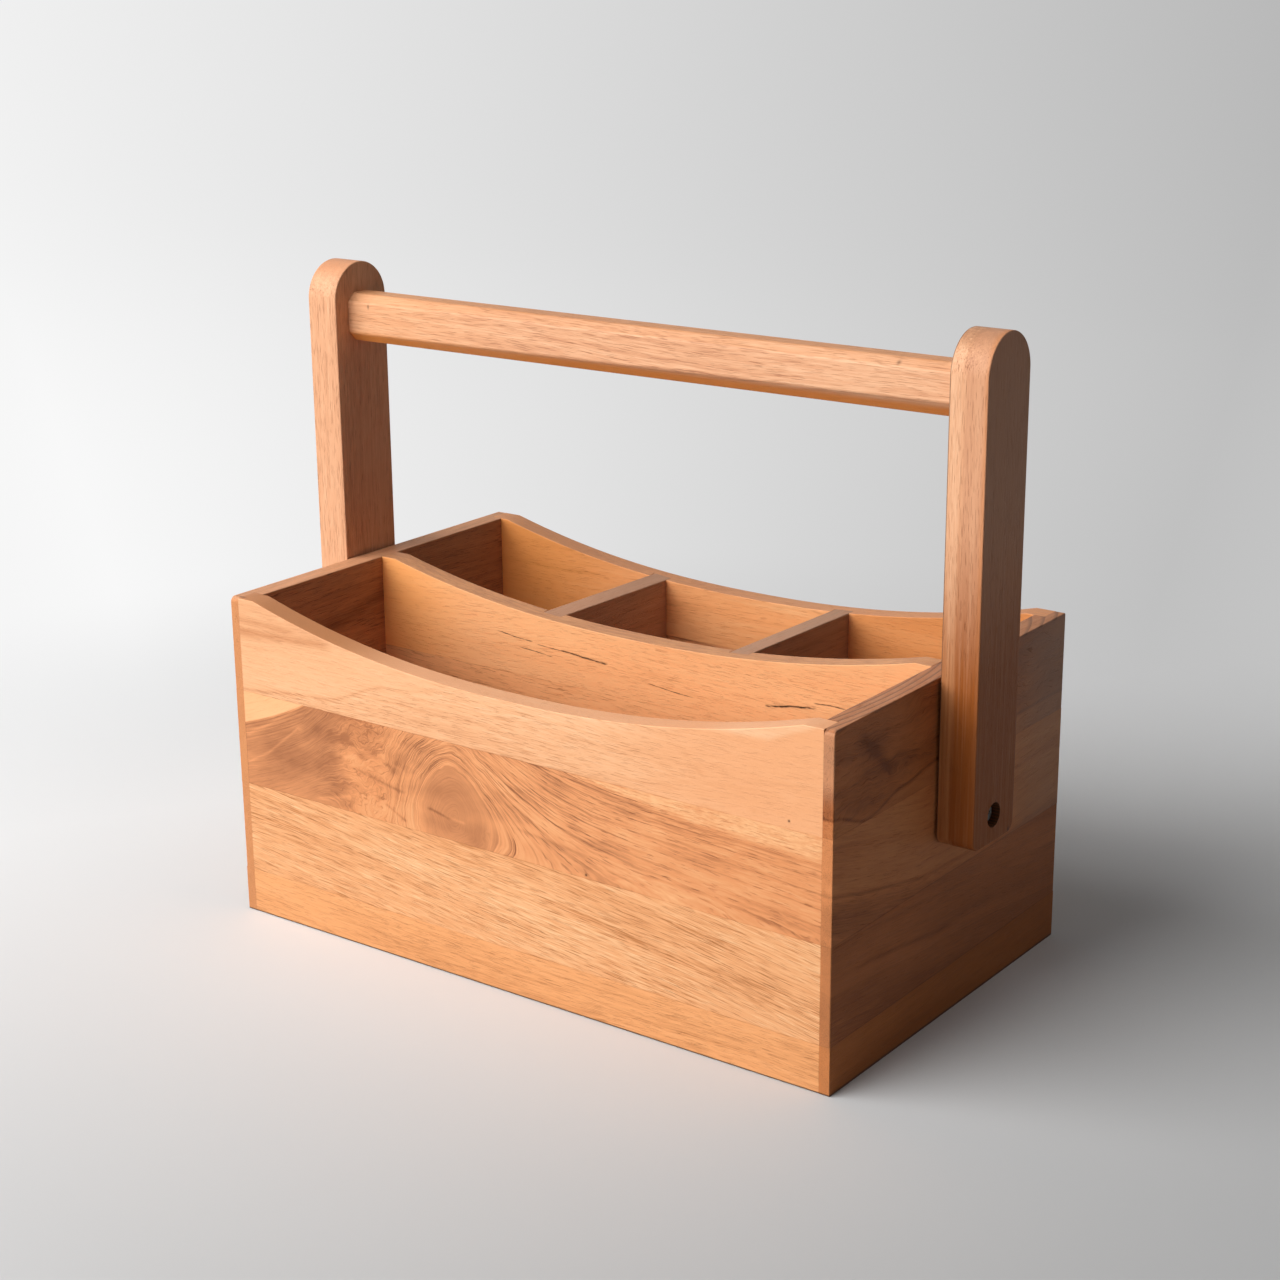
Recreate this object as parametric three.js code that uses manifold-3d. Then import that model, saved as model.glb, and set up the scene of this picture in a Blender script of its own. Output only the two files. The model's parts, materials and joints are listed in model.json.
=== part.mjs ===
// Wooden cutlery box: one long cell in front, three cells behind, and a carrying handle that swings on two screws.
// Millimetres. X runs along the box to its right end, Y from front to back, Z up from the table.
// The origin is the middle of the box's underside.

import * as THREE from 'three';
import { mergeVertices } from 'three/addons/utils/BufferGeometryUtils.js';
import Module from 'manifold-3d';

const wasm = await Module();
wasm.setup();

// Box, outside
const BOX_LENGTH = 300;
const BOX_DEPTH = 178;
const BOX_HEIGHT = 143;

// Corners of the end panels; the top front one is sanded rounder, to suit the hand
const CORNER_RADIUS = 0.8;
const FRONT_CORNER_RADIUS = 2.4;

// Panels and the rabbet that lets the front and back walls into the end panels
const END_THICKNESS = 9.5;
const WALL_THICKNESS = 10;
const LIP_THICKNESS = 4.5;

// Heights of the edge-glued boards, counted from the table; the top board takes the rest
const BOTTOM_BOARD_HEIGHT = 20;
const LOWER_BOARD_HEIGHT = 40;
const UPPER_BOARD_HEIGHT = 42;

// Concave rims of the long panels: flat at both ends, steepest beside the flats
const FRONT_RIM_DIP = 17.8;
const DIVIDER_RIM_DIP = 14.6;
const BACK_RIM_DIP = 16.2;
const WALL_RIM_FLAT = 13;
const DIVIDER_RIM_FLAT = 17;
const RIM_POWER = 2.25;
const RIM_STEPS = 40;

// Floor, held in a groove round the walls
const FLOOR_THICKNESS = 7;
const FLOOR_RAISE = 4;
const GROOVE_DEPTH = 4;
const GROOVE_CLEARANCE = 0.15;
const FLOOR_BOARDS = ['front', 'middle', 'back'];

// Dividers; the cross dividers are housed in the panels that they join
const DIVIDER_THICKNESS = 10;
const DIVIDER_SHIFT_BACK = 0.5;
const CROSS_THICKNESS = 9.5;
const CROSS_SHIFT_LEFT = 0.4;
const HOUSING_DEPTH = 4;

// Handle uprights
const UPRIGHT_WIDTH = 32;
const UPRIGHT_THICKNESS = 16;
const UPRIGHT_LENGTH = 197.5;
const UPRIGHT_FOOT_RADIUS = 4.5;
const UPRIGHT_EASE = 0.5;
const HANDLE_GAP = 1;

// Pivot of the handle
const PIVOT_HEIGHT = 87;
const PIVOT_ABOVE_FOOT = 11;

// Handle rail, with a lower front chamfer that widens from left to right
const RAIL_ABOVE_PIVOT = 163;
const RAIL_HEIGHT = 21;
const RAIL_DEPTH = 16;
const RAIL_CHAMFER = 3.5;
const RAIL_GRIP_CHAMFER_LEFT = 4;
const RAIL_GRIP_CHAMFER_RIGHT = 6.5;

// Dowels between rail and uprights
const DOWEL_RADIUS = 3;
const DOWEL_IN_UPRIGHT = 10;
const DOWEL_IN_RAIL = 20;
const DOWEL_SPACING = 9;
const DOWEL_CLEARANCE = 0.15;

// Pivot screws and their washers
const SCREW_RADIUS = 2.5;
const SCREW_LENGTH = 50;
const SCREW_TIP_LENGTH = 6;
const SCREW_HEAD_RADIUS = 4.2;
const SCREW_HEAD_HEIGHT = 2.8;
const SCREW_HEAD_CROWN = 0.9;
const SCREW_CLEARANCE = 0.3;
const RECESS_LENGTH = 4.6;
const RECESS_WIDTH = 1.1;
const RECESS_DEPTH = 1.6;
const COUNTERBORE_RADIUS = 5;
const COUNTERBORE_DEPTH = 6.5;
const WASHER_CLEARANCE = 0.3;
const HEAD_WASHER_THICKNESS = 1;
const SPACER_RADIUS = 7;
const RUNNING_PLAY = 0.1;

// Facets of round holes, pins and corners
const ROUND_SIDES = 24;
const CORNER_STEPS = 4;

// Places that follow from the sizes above
const halfLength = BOX_LENGTH / 2;
const halfDepth = BOX_DEPTH / 2;
const innerHalfLength = halfLength - END_THICKNESS;
const innerHalfDepth = halfDepth - WALL_THICKNESS;
const wallHalfLength = halfLength - LIP_THICKNESS;
const floorTop = FLOOR_RAISE + FLOOR_THICKNESS;
const dividerFront = DIVIDER_SHIFT_BACK - DIVIDER_THICKNESS / 2;
const dividerBack = DIVIDER_SHIFT_BACK + DIVIDER_THICKNESS / 2;
const cellLength = (2 * innerHalfLength - 2 * CROSS_THICKNESS) / 3;
const crossOffset = (cellLength + CROSS_THICKNESS) / 2;
const crossCentres = { left: -crossOffset - CROSS_SHIFT_LEFT, right: crossOffset - CROSS_SHIFT_LEFT };
const crossFront = dividerBack - HOUSING_DEPTH;
const crossBack = innerHalfDepth + HOUSING_DEPTH;
const uprightInside = halfLength + HANDLE_GAP;
const counterboreFloor = uprightInside + UPRIGHT_THICKNESS - COUNTERBORE_DEPTH;
const screwSeat = counterboreFloor + RUNNING_PLAY + HEAD_WASHER_THICKNESS;

const bottomSeam = BOTTOM_BOARD_HEIGHT;
const lowerSeam = bottomSeam + LOWER_BOARD_HEIGHT;
const upperSeam = lowerSeam + UPPER_BOARD_HEIGHT;
const WALL_ROWS = [
  ['bottom', 0, bottomSeam],
  ['lower', bottomSeam, lowerSeam],
  ['upper', lowerSeam, upperSeam],
  ['top', upperSeam, BOX_HEIGHT],
];
const DIVIDER_ROWS = [
  ['lower', floorTop, lowerSeam],
  ['upper', lowerSeam, upperSeam],
  ['top', upperSeam, BOX_HEIGHT],
];

// Finishes: oiled teak in several board tones, and zinc-plated steel
const WOOD_ROUGHNESS = 0.55;
const STEEL_ROUGHNESS = 0.35;
const TEAK = {
  bottom: 0xd0884c,
  lower: 0xdd9f66,
  upper: 0xb4753f,
  top: 0xd9985c,
  floor: 0xc98248,
  handle: 0xdd9d6c,
  dowel: 0xd9b483,
};
const STEEL = 0x9a9a98;

function wood(colour) {
  return new THREE.MeshStandardMaterial({ color: colour, roughness: WOOD_ROUGHNESS, metalness: 0 });
}

function steel() {
  return new THREE.MeshStandardMaterial({ color: STEEL, roughness: STEEL_ROUGHNESS, metalness: 1 });
}

// Solids: closed geometry to a solid and back, for sawing, joining and boring

function solidOf(geometry) {
  const bare = geometry.clone();
  bare.deleteAttribute('normal');
  bare.deleteAttribute('uv');
  const merged = mergeVertices(bare);
  return new wasm.Manifold(new wasm.Mesh({
    numProp: 3,
    vertProperties: new Float32Array(merged.attributes.position.array),
    triVerts: new Uint32Array(merged.index.array),
  }));
}

function geometryOf(solid) {
  const mesh = solid.getMesh();
  const geometry = new THREE.BufferGeometry();
  geometry.setAttribute('position', new THREE.BufferAttribute(mesh.vertProperties, 3));
  geometry.setIndex(new THREE.BufferAttribute(mesh.triVerts, 1));
  geometry.computeVertexNormals();
  return geometry;
}

function block(low, high) {
  const size = high.map((value, axis) => value - low[axis]);
  const geometry = new THREE.BoxGeometry(...size);
  geometry.translate(...low.map((value, axis) => value + size[axis] / 2));
  return solidOf(geometry);
}

// An outline drawn in Y and Z, extruded along +X
const alongX = new THREE.Matrix4().makeBasis(
  new THREE.Vector3(0, 1, 0),
  new THREE.Vector3(0, 0, 1),
  new THREE.Vector3(1, 0, 0),
);

// An outline drawn in X and Z, extruded along -Y
const alongMinusY = new THREE.Matrix4().makeBasis(
  new THREE.Vector3(1, 0, 0),
  new THREE.Vector3(0, 0, 1),
  new THREE.Vector3(0, -1, 0),
);

function extrudeX(outline, from, to) {
  const geometry = new THREE.ExtrudeGeometry(outline, {
    depth: to - from,
    bevelEnabled: false,
    curveSegments: CORNER_STEPS,
  });
  geometry.applyMatrix4(alongX).translate(from, 0, 0);
  return solidOf(geometry);
}

function extrudeY(outline, from, to) {
  const geometry = new THREE.ExtrudeGeometry(outline, { depth: to - from, bevelEnabled: false });
  geometry.applyMatrix4(alongMinusY).translate(0, to, 0);
  return solidOf(geometry);
}

function rodX(radius, from, to, y, z) {
  const geometry = new THREE.CylinderGeometry(radius, radius, to - from, ROUND_SIDES);
  geometry.rotateZ(-Math.PI / 2).translate((from + to) / 2, y, z);
  return solidOf(geometry);
}

// A profile of [radius, distance] points turned about the X axis
function turnedX(profile) {
  const points = profile.map(([radius, distance]) => new THREE.Vector2(radius, distance));
  const geometry = new THREE.LatheGeometry(points, ROUND_SIDES);
  geometry.rotateZ(-Math.PI / 2);
  return solidOf(geometry);
}

// Box: panels are shaped whole, then sawn along their glue lines into boards

const floorGroove = block(
  [
    -innerHalfLength - GROOVE_DEPTH - GROOVE_CLEARANCE,
    -innerHalfDepth - GROOVE_DEPTH - GROOVE_CLEARANCE,
    FLOOR_RAISE - GROOVE_CLEARANCE,
  ],
  [
    innerHalfLength + GROOVE_DEPTH + GROOVE_CLEARANCE,
    innerHalfDepth + GROOVE_DEPTH + GROOVE_CLEARANCE,
    floorTop + GROOVE_CLEARANCE,
  ],
);

function screwHole(from, to) {
  return rodX(SCREW_RADIUS + SCREW_CLEARANCE, from, to, 0, PIVOT_HEIGHT);
}

const frontRim = { dip: FRONT_RIM_DIP, flat: WALL_RIM_FLAT };
const dividerRim = { dip: DIVIDER_RIM_DIP, flat: DIVIDER_RIM_FLAT };
const backRim = { dip: BACK_RIM_DIP, flat: WALL_RIM_FLAT };

function rimHeight(rim, x) {
  const reach = Math.min(Math.abs(x) / (halfLength - rim.flat), 1);
  return BOX_HEIGHT - rim.dip * (1 - reach ** RIM_POWER);
}

function concaveOutline(rim, panelHalfLength, underside) {
  const dipHalfLength = halfLength - rim.flat;
  const outline = new THREE.Shape();
  outline.moveTo(-panelHalfLength, underside);
  outline.lineTo(panelHalfLength, underside);
  outline.lineTo(panelHalfLength, BOX_HEIGHT);
  for (let step = 0; step <= RIM_STEPS; step += 1) {
    const x = dipHalfLength * (1 - 2 * step / RIM_STEPS);
    outline.lineTo(x, rimHeight(rim, x));
  }
  outline.lineTo(-panelHalfLength, BOX_HEIGHT);
  outline.closePath();
  return outline;
}

// An end panel's outline in Y and Z
function endOutline() {
  const [front, back, top] = [-halfDepth, halfDepth, BOX_HEIGHT];
  const [radius, frontRadius] = [CORNER_RADIUS, FRONT_CORNER_RADIUS];
  const outline = new THREE.Shape();
  outline.moveTo(front + radius, 0);
  outline.lineTo(back - radius, 0);
  outline.absarc(back - radius, radius, radius, -Math.PI / 2, 0);
  outline.lineTo(back, top - radius);
  outline.absarc(back - radius, top - radius, radius, 0, Math.PI / 2);
  outline.lineTo(front + frontRadius, top);
  outline.absarc(front + frontRadius, top - frontRadius, frontRadius, Math.PI / 2, Math.PI);
  outline.lineTo(front, radius);
  outline.absarc(front + radius, radius, radius, Math.PI, 1.5 * Math.PI);
  return outline;
}

// The slot that takes a cross divider's ends
function housing(centre) {
  const [left, right] = [centre - CROSS_THICKNESS / 2, centre + CROSS_THICKNESS / 2];
  return block([left, crossFront, floorTop], [right, crossBack, BOX_HEIGHT]);
}

function wallPanel(rim, front, back) {
  return extrudeY(concaveOutline(rim, wallHalfLength, 0), front, back)
    .subtract(floorGroove)
    .subtract(housing(crossCentres.left))
    .subtract(housing(crossCentres.right));
}

// The end panel of one side: +1 for the right end, -1 for the left
function endPanel(side) {
  const [from, to] = [side * innerHalfLength, side * halfLength].sort((a, b) => a - b);
  const [rabbetFrom, rabbetTo] = [side * innerHalfLength, side * wallHalfLength].sort((a, b) => a - b);
  return extrudeX(endOutline(), from, to)
    .subtract(block([rabbetFrom, -halfDepth, 0], [rabbetTo, -innerHalfDepth, BOX_HEIGHT]))
    .subtract(block([rabbetFrom, innerHalfDepth, 0], [rabbetTo, halfDepth, BOX_HEIGHT]))
    .subtract(floorGroove)
    .subtract(screwHole(from, to));
}

function longDivider() {
  const screwEnd = screwSeat - SCREW_LENGTH - SCREW_CLEARANCE;
  return extrudeY(concaveOutline(dividerRim, innerHalfLength, floorTop), dividerFront, dividerBack)
    .subtract(screwHole(screwEnd, innerHalfLength))
    .subtract(screwHole(-innerHalfLength, -screwEnd))
    .subtract(housing(crossCentres.left))
    .subtract(housing(crossCentres.right));
}

// A cross divider's top runs from the rim of the long divider to the rim of the back wall
function crossDivider(centre) {
  const corners = [];
  for (const x of [centre - CROSS_THICKNESS / 2, centre + CROSS_THICKNESS / 2]) {
    for (const [rim, y] of [[dividerRim, crossFront], [backRim, crossBack]]) {
      corners.push([x, y, floorTop], [x, y, rimHeight(rim, x)]);
    }
  }
  return wasm.Manifold.hull(corners);
}

const box = new THREE.Group();

function addMesh(group, name, solid, material) {
  const mesh = new THREE.Mesh(geometryOf(solid), material);
  mesh.name = name;
  group.add(mesh);
}

function addBoards(panelName, panel, rows) {
  for (const [row, low, high] of rows) {
    const slice = block([-BOX_LENGTH, -BOX_DEPTH, low], [BOX_LENGTH, BOX_DEPTH, high]);
    addMesh(box, `${panelName}_board_${row}`, panel.intersect(slice), wood(TEAK[row]));
  }
}

addBoards('front', wallPanel(frontRim, -halfDepth, -innerHalfDepth), WALL_ROWS);
addBoards('back', wallPanel(backRim, innerHalfDepth, halfDepth), WALL_ROWS);
addBoards('left_end', endPanel(-1), WALL_ROWS);
addBoards('right_end', endPanel(1), WALL_ROWS);
addBoards('long_divider', longDivider(), DIVIDER_ROWS);

addBoards('left_cross_divider', crossDivider(crossCentres.left), DIVIDER_ROWS);
addBoards('right_cross_divider', crossDivider(crossCentres.right), DIVIDER_ROWS);

const floorHalfLength = innerHalfLength + GROOVE_DEPTH;
const floorHalfDepth = innerHalfDepth + GROOVE_DEPTH;
const floorBoardWidth = 2 * floorHalfDepth / FLOOR_BOARDS.length;
FLOOR_BOARDS.forEach((place, index) => {
  const front = -floorHalfDepth + index * floorBoardWidth;
  const board = block(
    [-floorHalfLength, front, FLOOR_RAISE],
    [floorHalfLength, front + floorBoardWidth, floorTop],
  );
  addMesh(box, `floor_board_${place}`, board, wood(TEAK.floor));
});

// Handle: built about its pivot axis, which is the handle group's own X axis

const handle = new THREE.Group();
handle.position.z = PIVOT_HEIGHT;

function dowelRod(clearance, dowelHeight) {
  return rodX(
    DOWEL_RADIUS + clearance,
    uprightInside - DOWEL_IN_RAIL - clearance,
    uprightInside + DOWEL_IN_UPRIGHT + clearance,
    0,
    dowelHeight,
  );
}

const dowelHeights = {
  lower: RAIL_ABOVE_PIVOT - DOWEL_SPACING / 2,
  upper: RAIL_ABOVE_PIVOT + DOWEL_SPACING / 2,
};

// An upright's outline in Y and Z: a half-round top and small round corners at the foot
function uprightOutline() {
  const half = UPRIGHT_WIDTH / 2;
  const foot = -PIVOT_ABOVE_FOOT;
  const roundCentre = UPRIGHT_LENGTH - PIVOT_ABOVE_FOOT - half;
  const radius = UPRIGHT_FOOT_RADIUS;
  const outline = new THREE.Shape();
  outline.moveTo(-half + radius, foot);
  outline.lineTo(half - radius, foot);
  outline.absarc(half - radius, foot + radius, radius, -Math.PI / 2, 0);
  outline.lineTo(half, roundCentre);
  outline.absarc(0, roundCentre, half, 0, Math.PI);
  outline.lineTo(-half, foot + radius);
  outline.absarc(-half + radius, foot + radius, radius, Math.PI, 1.5 * Math.PI);
  return outline;
}

// The upright of the right side
function upright() {
  const geometry = new THREE.ExtrudeGeometry(uprightOutline(), {
    depth: UPRIGHT_THICKNESS - 2 * UPRIGHT_EASE,
    bevelThickness: UPRIGHT_EASE,
    bevelSize: UPRIGHT_EASE,
    bevelOffset: -UPRIGHT_EASE,
    bevelSegments: 2,
    curveSegments: ROUND_SIDES,
  });
  geometry.applyMatrix4(alongX).translate(uprightInside + UPRIGHT_EASE, 0, 0);
  const outside = uprightInside + UPRIGHT_THICKNESS;
  return solidOf(geometry)
    .subtract(rodX(SCREW_RADIUS + SCREW_CLEARANCE, uprightInside, outside, 0, 0))
    .subtract(rodX(COUNTERBORE_RADIUS, counterboreFloor, outside, 0, 0))
    .subtract(dowelRod(DOWEL_CLEARANCE, dowelHeights.lower))
    .subtract(dowelRod(DOWEL_CLEARANCE, dowelHeights.upper));
}

// The rail's eight-sided section as [y, z] points, anticlockwise seen from the right
function railSection(gripChamfer) {
  const [y, z] = [RAIL_DEPTH / 2, RAIL_HEIGHT / 2];
  return [
    [-y + gripChamfer, -z],
    [y - RAIL_CHAMFER, -z],
    [y, -z + RAIL_CHAMFER],
    [y, z - RAIL_CHAMFER],
    [y - RAIL_CHAMFER, z],
    [-y + RAIL_CHAMFER, z],
    [-y, z - RAIL_CHAMFER],
    [-y, -z + gripChamfer],
  ];
}

function rail() {
  const left = railSection(RAIL_GRIP_CHAMFER_LEFT);
  const right = railSection(RAIL_GRIP_CHAMFER_RIGHT);
  const sides = left.length;
  const positions = [
    ...left.map(([y, z]) => [-uprightInside, y, RAIL_ABOVE_PIVOT + z]),
    ...right.map(([y, z]) => [uprightInside, y, RAIL_ABOVE_PIVOT + z]),
  ].flat();
  const triangles = [];
  for (let i = 0; i < sides; i += 1) {
    const next = (i + 1) % sides;
    triangles.push(i, next, sides + next, i, sides + next, sides + i);
  }
  for (let i = 1; i < sides - 1; i += 1) {
    triangles.push(0, i + 1, i, sides, sides + i, sides + i + 1);
  }
  const geometry = new THREE.BufferGeometry();
  geometry.setAttribute('position', new THREE.Float32BufferAttribute(positions, 3));
  geometry.setIndex(triangles);
  let bar = solidOf(geometry);
  for (const height of Object.values(dowelHeights)) {
    const hole = dowelRod(DOWEL_CLEARANCE, height);
    bar = bar.subtract(hole).subtract(hole.rotate([0, 0, 180]));
  }
  return bar;
}

// Pivot hardware of the right side, about the pivot axis

function pivotScrew() {
  const shank = screwSeat - SCREW_LENGTH;
  const crown = screwSeat + SCREW_HEAD_HEIGHT - SCREW_HEAD_CROWN;
  const top = screwSeat + SCREW_HEAD_HEIGHT;
  const body = turnedX([
    [0, shank],
    [SCREW_RADIUS, shank + SCREW_TIP_LENGTH],
    [SCREW_RADIUS, screwSeat],
    [SCREW_HEAD_RADIUS, screwSeat],
    [SCREW_HEAD_RADIUS, crown],
    [SCREW_HEAD_RADIUS - SCREW_HEAD_CROWN, top],
    [0, top],
  ]);
  const [half, thin] = [RECESS_LENGTH / 2, RECESS_WIDTH / 2];
  return body
    .subtract(block([top - RECESS_DEPTH, -half, -thin], [top + RECESS_DEPTH, half, thin]))
    .subtract(block([top - RECESS_DEPTH, -thin, -half], [top + RECESS_DEPTH, thin, half]));
}

function washer(outerRadius, from, to) {
  const hole = SCREW_RADIUS + SCREW_CLEARANCE;
  return rodX(outerRadius, from, to, 0, 0).subtract(rodX(hole, from, to, 0, 0));
}

const hardware = new THREE.Group();
hardware.position.z = PIVOT_HEIGHT;

addMesh(handle, 'handle_rail', rail(), wood(TEAK.handle));

// The left side is the right side turned half a turn about Z
for (const [side, turn] of [['right', 0], ['left', Math.PI]]) {
  const handleSide = new THREE.Group();
  handleSide.rotation.z = turn;
  addMesh(handleSide, `${side}_upright`, upright(), wood(TEAK.handle));
  for (const [place, height] of Object.entries(dowelHeights)) {
    addMesh(handleSide, `${side}_rail_dowel_${place}`, dowelRod(0, height), wood(TEAK.dowel));
  }
  handle.add(handleSide);

  const hardwareSide = new THREE.Group();
  hardwareSide.rotation.z = turn;
  const headWasherRadius = COUNTERBORE_RADIUS - WASHER_CLEARANCE;
  addMesh(hardwareSide, `${side}_pivot_screw`, pivotScrew(), steel());
  addMesh(
    hardwareSide,
    `${side}_head_washer`,
    washer(headWasherRadius, screwSeat - HEAD_WASHER_THICKNESS, screwSeat),
    steel(),
  );
  addMesh(
    hardwareSide,
    `${side}_spacer_washer`,
    washer(SPACER_RADIUS, halfLength, uprightInside - RUNNING_PLAY),
    steel(),
  );
  hardware.add(hardwareSide);
}

const cutleryBox = new THREE.Group();
cutleryBox.add(box, handle, hardware);

export default cutleryBox;
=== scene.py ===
"""Looks of the cutlery box: boards of oiled teak, a swinging handle, steel pivots and soft studio light."""
import json
import math
from dataclasses import dataclass

import bmesh
import bpy
from mathutils import Matrix, Vector


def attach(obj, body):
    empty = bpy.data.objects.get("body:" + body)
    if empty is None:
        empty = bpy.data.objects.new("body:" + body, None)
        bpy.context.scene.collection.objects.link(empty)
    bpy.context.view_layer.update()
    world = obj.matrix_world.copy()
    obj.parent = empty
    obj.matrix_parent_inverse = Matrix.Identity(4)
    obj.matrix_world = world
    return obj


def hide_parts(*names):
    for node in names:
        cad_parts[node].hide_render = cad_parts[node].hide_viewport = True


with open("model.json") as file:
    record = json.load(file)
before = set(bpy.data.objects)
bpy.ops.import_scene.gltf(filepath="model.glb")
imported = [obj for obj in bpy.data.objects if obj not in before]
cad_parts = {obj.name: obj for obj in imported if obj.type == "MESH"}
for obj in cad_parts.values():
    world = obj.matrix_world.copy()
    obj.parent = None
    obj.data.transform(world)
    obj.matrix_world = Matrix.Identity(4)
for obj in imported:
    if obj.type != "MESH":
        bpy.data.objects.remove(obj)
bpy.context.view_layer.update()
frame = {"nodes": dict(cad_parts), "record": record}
record = frame["record"]

MM = 0.001


# Terms: numbers that vary over a surface

class Term:
    """A number that varies over a surface. Arithmetic on terms adds the nodes that work it out."""

    def __init__(self, tree, socket):
        self.tree = tree
        self.socket = socket

    def math(self, operation, *others, clamp=False):
        node = self.tree.nodes.new("ShaderNodeMath")
        node.operation = operation
        node.use_clamp = clamp
        for socket, value in zip(node.inputs, (self, *others)):
            plug(self.tree, socket, value)
        return Term(self.tree, node.outputs[0])

    def __add__(self, other):
        return self.math("ADD", other)

    def __sub__(self, other):
        return self.math("SUBTRACT", other)

    def __rsub__(self, other):
        return self.math("MULTIPLY_ADD", -1.0, other)

    def __neg__(self):
        return self.math("MULTIPLY", -1.0)

    def __mul__(self, other):
        return self.math("MULTIPLY", other)

    def __truediv__(self, other):
        return self.math("DIVIDE", other)

    __radd__ = __add__
    __rmul__ = __mul__

    def clamped(self):
        return self.math("ADD", 0.0, clamp=True)

    def size(self):
        return self.math("ABSOLUTE")

    def square(self):
        return self.math("MULTIPLY", self)

    def root(self):
        return self.math("SQRT")

    def exp(self):
        return self.math("EXPONENT")

    def floor(self):
        return self.math("FLOOR")

    def fraction(self):
        return self.math("FRACT")

    def larger(self, other):
        return self.math("MAXIMUM", other)

    def step(self, low, high, kind="SMOOTHSTEP"):
        """0 up to low, 1 from high on, smooth between; low above high falls instead."""
        node = self.tree.nodes.new("ShaderNodeMapRange")
        node.interpolation_type = kind
        plug(self.tree, node.inputs["Value"], self)
        plug(self.tree, node.inputs["From Min"], low)
        plug(self.tree, node.inputs["From Max"], high)
        return Term(self.tree, node.outputs["Result"])

    def within(self, low, high, soft):
        """1 between low and high, fading out over soft on either side."""
        return self.step(low - soft, low) * self.step(high + soft, high)

    def bell(self, width):
        """1 where the term is 0, falling off over this width on both sides."""
        return (-(self / width).square()).exp()

    def curve(self, points, kind="LINEAR"):
        """A line over the term through (place, height) points, level at each of them if it is smooth."""
        height = points[0][1]
        for (start, low), (end, high) in zip(points, points[1:]):
            height = self.step(start, end, kind) * (high - low) + height
        return height

    def random(self):
        """One random number from 0 to 1 for each value of the term."""
        node = self.tree.nodes.new("ShaderNodeTexWhiteNoise")
        node.noise_dimensions = "1D"
        plug(self.tree, node.inputs["W"], self)
        return Term(self.tree, node.outputs["Value"])


def plug(tree, socket, value):
    """Links a term to a socket, or sets a plain number there."""
    if isinstance(value, Term):
        tree.links.new(value.socket, socket)
    else:
        socket.default_value = value


def noise(place, sizes, seed, detail=2.0, roughness=0.5):
    """Smooth noise about 0, mostly within half a unit, with features of these sizes along place's terms."""
    tree = place[0].tree
    joined = tree.nodes.new("ShaderNodeCombineXYZ")
    for socket, term, size, offset in zip(joined.inputs, place, sizes, (3.7, 11.3, 17.9)):
        plug(tree, socket, term.math("MULTIPLY_ADD", 1.0 / size, seed * offset))
    node = tree.nodes.new("ShaderNodeTexNoise")
    tree.links.new(joined.outputs[0], node.inputs["Vector"])
    node.inputs["Scale"].default_value = 1.0
    node.inputs["Detail"].default_value = detail
    node.inputs["Roughness"].default_value = roughness
    return (Term(tree, node.outputs["Fac"]) - 0.5) * 2.0


def stroke(u, v, points, width, soft=5.0):
    """A thin mark along a curve through (u, v) points, fading out at both ends."""
    return (v - u.curve(points)).bell(width) * u.within(points[0][0], points[-1][0], soft)


def strokes(u, v, marks):
    """The sum of thin marks, each given as points, width, softness of its ends and strength."""
    total = 0.0
    for points, width, soft, strength in marks:
        total = stroke(u, v, points, width, soft) * strength + total
    return total


def blob(u, v, centre, radii):
    """A soft round mark."""
    return (-(((u - centre[0]) / radii[0]).square() + ((v - centre[1]) / radii[1]).square())).exp()


def ramp(term, stops):
    """The colour that a term from 0 to 1 picks from (position, linear colour) stops."""
    node = term.tree.nodes.new("ShaderNodeValToRGB")
    elements = node.color_ramp.elements
    while len(elements) < len(stops):
        elements.new(1.0)
    for element, (position, colour) in zip(elements, stops):
        element.position = position
        element.color = (*colour, 1.0)
    term.tree.links.new(term.socket, node.inputs["Fac"])
    return Term(term.tree, node.outputs["Color"])


def mixed(factor, first, second):
    """First colour where factor is 0, second where it is 1."""
    tree = factor.tree
    node = tree.nodes.new("ShaderNodeMix")
    node.data_type = "RGBA"
    sockets = {socket.identifier: socket for socket in node.inputs}
    plug(tree, sockets["Factor_Float"], factor)
    for key, colour in (("A_Color", first), ("B_Color", second)):
        plug(tree, sockets[key], colour if isinstance(colour, Term) else (*colour, 1.0))
    return Term(tree, node.outputs[2])


def split(tree, socket, scale):
    """The three parts of a vector as terms named x, y and z."""
    node = tree.nodes.new("ShaderNodeSeparateXYZ")
    tree.links.new(socket, node.inputs[0])
    return {axis: Term(tree, node.outputs[i]) * scale for i, axis in enumerate("xyz")}


def new_material(name):
    """An empty material: its shader, the surface position in millimetres and the way the surface faces."""
    material = bpy.data.materials.new(name)
    material.use_nodes = True
    tree = material.node_tree
    tree.nodes.clear()
    shader = tree.nodes.new("ShaderNodeBsdfPrincipled")
    output = tree.nodes.new("ShaderNodeOutputMaterial")
    tree.links.new(shader.outputs["BSDF"], output.inputs["Surface"])
    coordinates = tree.nodes.new("ShaderNodeTexCoord")
    place = split(tree, coordinates.outputs["Object"], 1.0 / MM)
    facing = split(tree, coordinates.outputs["Normal"], 1.0)
    return material, shader, place, facing


def bump(shader, height, distance):
    """Tilts the shader's normal by a height term, whose unit is this distance in metres."""
    tree = height.tree
    node = tree.nodes.new("ShaderNodeBump")
    node.inputs["Distance"].default_value = distance
    tree.links.new(height.socket, node.inputs["Height"])
    tree.links.new(node.outputs["Normal"], shader.inputs["Normal"])


# Oiled teak

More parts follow.
